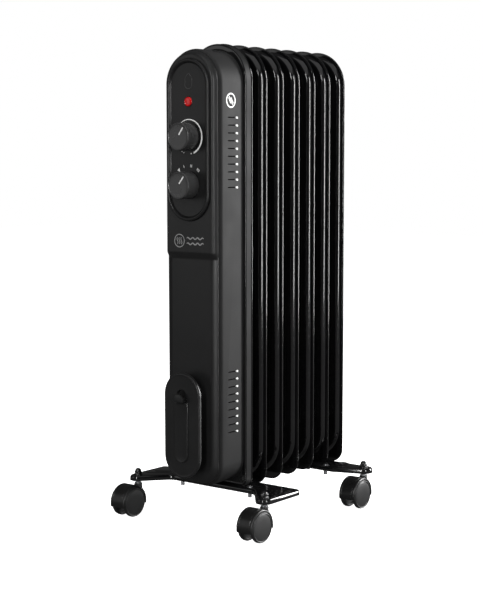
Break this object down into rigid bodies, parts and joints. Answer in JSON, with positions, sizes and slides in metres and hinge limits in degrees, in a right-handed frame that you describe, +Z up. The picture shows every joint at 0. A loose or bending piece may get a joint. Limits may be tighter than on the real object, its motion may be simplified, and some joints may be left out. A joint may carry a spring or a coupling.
{
  "type": "oil filled radiator heater",
  "caption": "Oil filled radiator heater with stamped fins, a slim control housing with two knobs, a cord tidy, and two pressed feet on twin-wheel swivel casters.",
  "frame": {"origin": "on the floor, under the middle of the heater's bounding box", "axes": "+Z up, the control panel faces -Y, +X to the right when the panel is seen from the front"},
  "size_m": [0.2392, 0.3063, 0.6199],
  "materials": {
    "black_enamel": "gloss",
    "charcoal_paint": "satin",
    "black_plastic": "satin",
    "knob_plastic": "satin",
    "red_lens": "gloss",
    "lamp_glass": "clear",
    "zinc_steel": "satin",
    "brass": "satin",
    "fibre": "matte",
    "ceramic": "matte",
    "switch_plastic": "matte",
    "element_steel": "matte",
    "wire_insulation": "satin",
    "black_oxide_steel": "satin",
    "caster_nylon": "matte",
    "wheel_nylon": "satin"
  },
  "bodies": {
    "heater": {"fin_1": "black_enamel", "fin_2": "black_enamel", "fin_3": "black_enamel", "fin_4": "black_enamel", "fin_5": "black_enamel", "fin_6": "black_enamel", "fin_7": "black_enamel", "filler_plug": "zinc_steel", "element_flange": "brass", "element_gasket": "fibre", "heating_elements": "element_steel", "end_plate": "black_enamel", "housing_shell": "charcoal_paint", "front_fascia": "black_plastic", "control_bezel": "black_plastic", "indicator_lens": "red_lens", "neon_lamp": "lamp_glass", "control_bracket": "zinc_steel", "thermostat": "ceramic", "selector_switch": "switch_plastic", "thermal_cutout": "ceramic", "terminal_block": "ceramic", "internal_wiring": "wire_insulation", "cord_gland": "black_plastic", "cord_tidy": "black_plastic", "housing_screws": "zinc_steel", "front_foot": "black_enamel", "rear_foot": "black_enamel", "u_bolts": "zinc_steel", "wing_nuts": "zinc_steel", "foot_studs": "black_oxide_steel", "dome_nuts": "black_oxide_steel", "caster_stems": "zinc_steel"},
    "thermostat_control": {"thermostat_spindle": "zinc_steel", "thermostat_knob": "knob_plastic"},
    "selector_control": {"selector_spindle": "zinc_steel", "selector_knob": "knob_plastic"},
    "front_left_caster": {"front_left_hood": "caster_nylon", "front_left_axle": "zinc_steel"},
    "front_left_outer_wheel": {"front_left_wheel_outer": "wheel_nylon"},
    "front_left_inner_wheel": {"front_left_wheel_inner": "wheel_nylon"},
    "front_right_caster": {"front_right_hood": "caster_nylon", "front_right_axle": "zinc_steel"},
    "front_right_outer_wheel": {"front_right_wheel_outer": "wheel_nylon"},
    "front_right_inner_wheel": {"front_right_wheel_inner": "wheel_nylon"},
    "rear_left_caster": {"rear_left_hood": "caster_nylon", "rear_left_axle": "zinc_steel"},
    "rear_left_outer_wheel": {"rear_left_wheel_outer": "wheel_nylon"},
    "rear_left_inner_wheel": {"rear_left_wheel_inner": "wheel_nylon"},
    "rear_right_caster": {"rear_right_hood": "caster_nylon", "rear_right_axle": "zinc_steel"},
    "rear_right_outer_wheel": {"rear_right_wheel_outer": "wheel_nylon"},
    "rear_right_inner_wheel": {"rear_right_wheel_inner": "wheel_nylon"}
  },
  "joints": [
    {"name": "thermostat_turn", "type": "hinge", "parent": "heater", "child": "thermostat_control", "pos_m": [0, -0.12015, 0.5008], "axis": [0, 1, 0], "range_deg": [-176, 122]},
    {"name": "selector_turn", "type": "hinge", "parent": "heater", "child": "selector_control", "pos_m": [0, -0.12015, 0.4404], "axis": [0, 1, 0], "range_deg": [-87, 0]},
    {"name": "front_left_swivel", "type": "hinge", "parent": "heater", "child": "front_left_caster", "pos_m": [-0.1066, -0.11125, 0.035], "axis": [0, 0, 1], "continuous": true},
    {"name": "front_left_outer_roll", "type": "hinge", "parent": "front_left_caster", "child": "front_left_outer_wheel", "pos_m": [-0.1066, -0.13055, 0.0195], "axis": [1, 0, 0], "continuous": true},
    {"name": "front_left_inner_roll", "type": "hinge", "parent": "front_left_caster", "child": "front_left_inner_wheel", "pos_m": [-0.1066, -0.13055, 0.0195], "axis": [1, 0, 0], "continuous": true},
    {"name": "front_right_swivel", "type": "hinge", "parent": "heater", "child": "front_right_caster", "pos_m": [0.1066, -0.11125, 0.035], "axis": [0, 0, 1], "continuous": true},
    {"name": "front_right_outer_roll", "type": "hinge", "parent": "front_right_caster", "child": "front_right_outer_wheel", "pos_m": [0.1066, -0.13055, 0.0195], "axis": [1, 0, 0], "continuous": true},
    {"name": "front_right_inner_roll", "type": "hinge", "parent": "front_right_caster", "child": "front_right_inner_wheel", "pos_m": [0.1066, -0.13055, 0.0195], "axis": [1, 0, 0], "continuous": true},
    {"name": "rear_left_swivel", "type": "hinge", "parent": "heater", "child": "rear_left_caster", "pos_m": [-0.1066, 0.11235, 0.035], "axis": [0, 0, 1], "continuous": true},
    {"name": "rear_left_outer_roll", "type": "hinge", "parent": "rear_left_caster", "child": "rear_left_outer_wheel", "pos_m": [-0.1066, 0.09305, 0.0195], "axis": [1, 0, 0], "continuous": true},
    {"name": "rear_left_inner_roll", "type": "hinge", "parent": "rear_left_caster", "child": "rear_left_inner_wheel", "pos_m": [-0.1066, 0.09305, 0.0195], "axis": [1, 0, 0], "continuous": true},
    {"name": "rear_right_swivel", "type": "hinge", "parent": "heater", "child": "rear_right_caster", "pos_m": [0.1066, 0.11235, 0.035], "axis": [0, 0, 1], "continuous": true},
    {"name": "rear_right_outer_roll", "type": "hinge", "parent": "rear_right_caster", "child": "rear_right_outer_wheel", "pos_m": [0.1066, 0.09305, 0.0195], "axis": [1, 0, 0], "continuous": true},
    {"name": "rear_right_inner_roll", "type": "hinge", "parent": "rear_right_caster", "child": "rear_right_inner_wheel", "pos_m": [0.1066, 0.09305, 0.0195], "axis": [1, 0, 0], "continuous": true}
  ]
}
